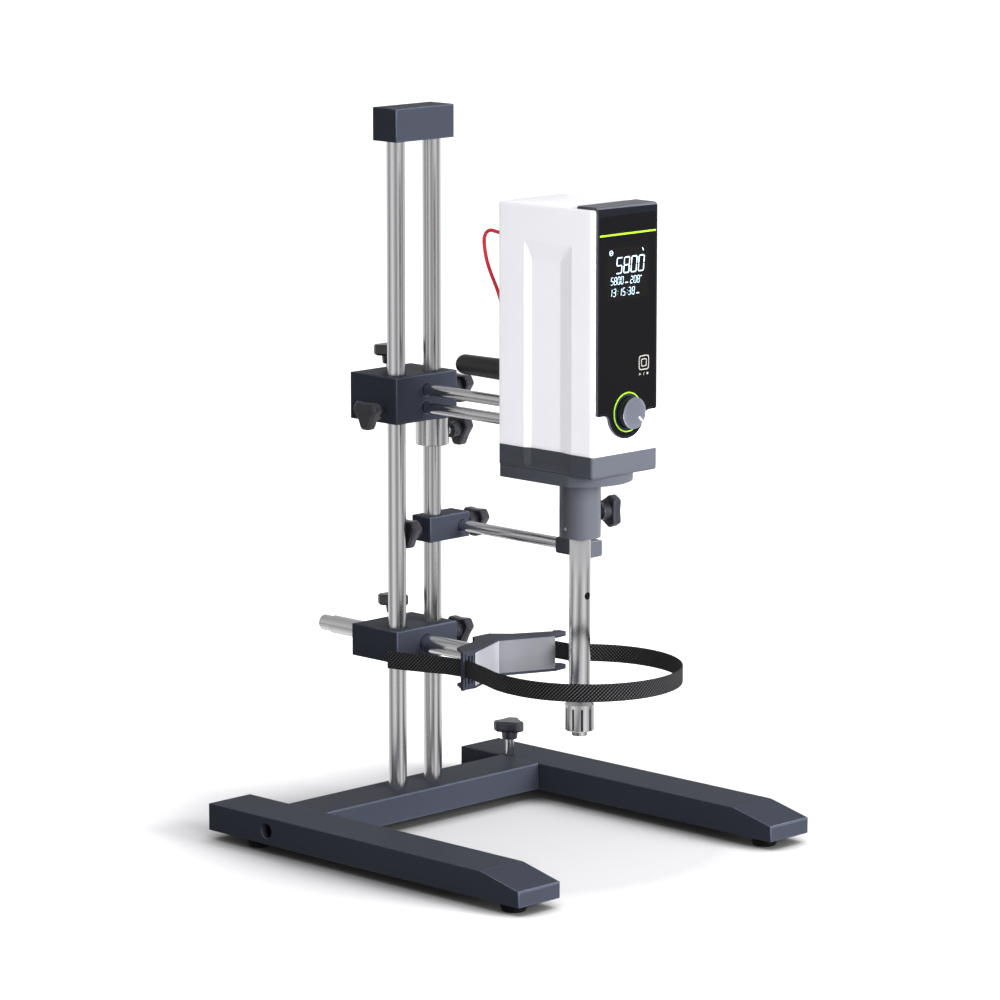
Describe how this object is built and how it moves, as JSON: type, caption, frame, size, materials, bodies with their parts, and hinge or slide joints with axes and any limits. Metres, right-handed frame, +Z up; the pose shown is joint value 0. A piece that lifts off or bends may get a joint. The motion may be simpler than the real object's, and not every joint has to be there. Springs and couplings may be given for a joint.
{
  "type": "rotor stator homogenizer",
  "caption": "Rotor stator homogenizer on a two-column H stand: motor head with display and speed dial, slotted stator tool, probe arm, and a vessel strap holder on clamping blocks.",
  "frame": {"origin": "On the bench plane, in the middle of the machine's outline seen from above.", "axes": "+Z up along the uprights, -Y the front with the display and the dial, +X to the machine's left side as it faces the user: the side with the levelling screw and the probe arm."},
  "size_m": [0.36, 0.423, 0.6352],
  "materials": {
    "slate_paint": "charcoal blue powder coat, satin, fine even grain",
    "polished_steel": "ground and polished stainless steel",
    "foot_rubber": "black moulded rubber",
    "black_screw": "blackened steel socket screws",
    "knob_plastic": "black moulded plastic, satin",
    "grip_plastic": "black moulded plastic",
    "white_shell": "white moulded shell, satin",
    "smoked_panel": "near black glossy panel",
    "lime_trim": "lime green trim",
    "silver_plate": "fine blasted aluminium",
    "webbing": "black twill webbing",
    "red_lead": "red silicone sheath",
    "board": "green circuit board",
    "motor_paint": "dark grey painted metal",
    "winding_copper": "laminations with copper windings",
    "bush_white": "white low-friction plastic"
  },
  "bodies": {
    "stand": {"left_leg": "slate_paint", "right_leg": "slate_paint", "crossbar": "slate_paint", "rubber_feet": "foot_rubber", "base_screws": "black_screw", "left_upright": "polished_steel", "right_upright": "polished_steel", "end_block": "slate_paint"},
    "level_foot": {"levelling_foot": "foot_rubber"},
    "level_screw": {"levelling_knob": "knob_plastic"},
    "carriage": {"carriage_block": "slate_paint"},
    "carriage_left_screw": {"carriage_left_knob": "knob_plastic"},
    "carriage_right_screw": {"carriage_right_knob": "knob_plastic"},
    "carriage_top_screw": {"carriage_top_knob": "knob_plastic"},
    "stop": {"stop_collar": "polished_steel"},
    "stop_screw": {"stop_collar_knob": "knob_plastic"},
    "probe_carrier": {"probe_clamp": "slate_paint"},
    "probe_left_screw": {"probe_left_knob": "knob_plastic"},
    "probe_right_screw": {"probe_right_knob": "knob_plastic"},
    "probe_arm": {"probe_rod": "polished_steel", "probe_holder": "slate_paint"},
    "strap_carrier": {"strap_block": "slate_paint"},
    "strap_side_screw": {"strap_side_knob": "knob_plastic"},
    "strap_top_screw": {"strap_top_knob": "knob_plastic"},
    "strap_arm": {"strap_rod": "polished_steel", "strap_bracket": "slate_paint", "strap_plate": "silver_plate", "vessel_strap": "webbing"},
    "head": {"upper_arm_rod": "polished_steel", "lower_arm_rod": "polished_steel", "housing": "white_shell", "drive_base": "slate_paint", "front_panel": "slate_paint", "display_glass": "smoked_panel", "display_module": "grip_plastic", "control_board": "board", "dial_encoder": "motor_paint", "dial_ring": "lime_trim", "motor_can": "motor_paint", "motor_stator": "winding_copper", "motor_bearings": "polished_steel", "handle_grip": "grip_plastic", "lead_socket": "grip_plastic", "lead_gland": "grip_plastic", "sensor_lead": "red_lead", "mains_inlet": "grip_plastic", "head_screws": "polished_steel", "tool_collar": "slate_paint"},
    "dial": {"speed_dial": "silver_plate"},
    "rocker": {"power_rocker": "grip_plastic"},
    "rotor": {"motor_rotor": "polished_steel", "motor_shaft": "polished_steel", "drive_coupling": "polished_steel"},
    "tool_screw": {"tool_clamp_knob": "knob_plastic"},
    "tool": {"tool_tube": "polished_steel", "tool_bushings": "bush_white", "stator_head": "polished_steel"},
    "tool_rotor": {"tool_shaft": "polished_steel", "rotor_blades": "polished_steel"}
  },
  "joints": [
    {"name": "carriage_lift", "type": "slide", "parent": "stand", "child": "carriage", "axis": [0, 0, 1], "range_m": [0, 0.175]},
    {"name": "head_reach", "type": "slide", "parent": "carriage", "child": "head", "axis": [0, -1, 0], "range_m": [-0.05, 0.025]},
    {"name": "tool_release", "type": "slide", "parent": "head", "child": "tool", "axis": [0, 0, -1], "range_m": [0, 0.06]},
    {"name": "motor_spin", "type": "hinge", "parent": "head", "child": "rotor", "pos_m": [0, -0.1075, 0.4], "axis": [0, 0, 1], "continuous": true},
    {"name": "tool_spin", "type": "hinge", "parent": "tool", "child": "tool_rotor", "pos_m": [0, -0.1075, 0.2], "axis": [0, 0, 1], "continuous": true},
    {"name": "speed_turn", "type": "hinge", "parent": "head", "child": "dial", "pos_m": [0, -0.1615, 0.3948], "axis": [0, -1, 0], "continuous": true},
    {"name": "rocker_tilt", "type": "hinge", "parent": "head", "child": "rocker", "pos_m": [0.013, -0.05, 0.4579], "axis": [-1, 0, 0], "range_deg": [0, 13]},
    {"name": "tool_screw_turn", "type": "hinge", "parent": "head", "child": "tool_screw", "pos_m": [0.03, -0.1075, 0.2995], "axis": [1, 0, 0], "range_deg": [0, 720]},
    {"name": "carriage_left_turn", "type": "hinge", "parent": "carriage", "child": "carriage_left_screw", "pos_m": [-0.045, 0.094, 0.371], "axis": [-1, 0, 0], "range_deg": [0, 720]},
    {"name": "carriage_right_turn", "type": "hinge", "parent": "carriage", "child": "carriage_right_screw", "pos_m": [0.045, 0.094, 0.383], "axis": [1, 0, 0], "range_deg": [0, 720]},
    {"name": "carriage_top_turn", "type": "hinge", "parent": "carriage", "child": "carriage_top_screw", "pos_m": [0, 0.1241, 0.41], "axis": [0, 0, 1], "range_deg": [0, 720]},
    {"name": "stop_slide", "type": "slide", "parent": "stand", "child": "stop", "axis": [0, 0, 1], "range_m": [-0.02, 0]},
    {"name": "stop_screw_turn", "type": "hinge", "parent": "stop", "child": "stop_screw", "pos_m": [0.045, 0.094, 0.345], "axis": [1, 0, 0], "range_deg": [0, 720]},
    {"name": "probe_lift", "type": "slide", "parent": "stand", "child": "probe_carrier", "axis": [0, 0, 1], "range_m": [-0.02, 0.015]},
    {"name": "probe_reach", "type": "slide", "parent": "probe_carrier", "child": "probe_arm", "axis": [0, -1, 0], "range_m": [-0.03, 0.015]},
    {"name": "probe_left_turn", "type": "hinge", "parent": "probe_carrier", "child": "probe_left_screw", "pos_m": [0, 0.094, 0.2602], "axis": [-1, 0, 0], "range_deg": [0, 720]},
    {"name": "probe_right_turn", "type": "hinge", "parent": "probe_carrier", "child": "probe_right_screw", "pos_m": [0.065, 0.094, 0.2602], "axis": [1, 0, 0], "range_deg": [0, 720]},
    {"name": "strap_lift", "type": "slide", "parent": "stand", "child": "strap_carrier", "axis": [0, 0, 1], "range_m": [-0.1, 0.02]},
    {"name": "strap_reach", "type": "slide", "parent": "strap_carrier", "child": "strap_arm", "axis": [0, -1, 0], "range_m": [-0.04, 0.03]},
    {"name": "strap_side_turn", "type": "hinge", "parent": "strap_carrier", "child": "strap_side_screw", "pos_m": [0.045, 0.094, 0.164], "axis": [1, 0, 0], "range_deg": [0, 720]},
    {"name": "strap_top_turn", "type": "hinge", "parent": "strap_carrier", "child": "strap_top_screw", "pos_m": [0, 0.1203, 0.19], "axis": [0, 0, 1], "range_deg": [0, 720]},
    {"name": "level_slide", "type": "slide", "parent": "stand", "child": "level_foot", "axis": [0, 0, -1], "range_m": [0, 0.01]},
    {"name": "level_turn", "type": "hinge", "parent": "level_foot", "child": "level_screw", "pos_m": [0.137, 0.1116, 0.05], "axis": [0, 0, 1], "range_deg": [-2880, 0]}
  ],
  "couplings": [
    {"joint": "tool_spin", "follows": "motor_spin", "ratio": 1},
    {"joint": "level_turn", "follows": "level_slide", "rad_per_m": -5026.5}
  ]
}
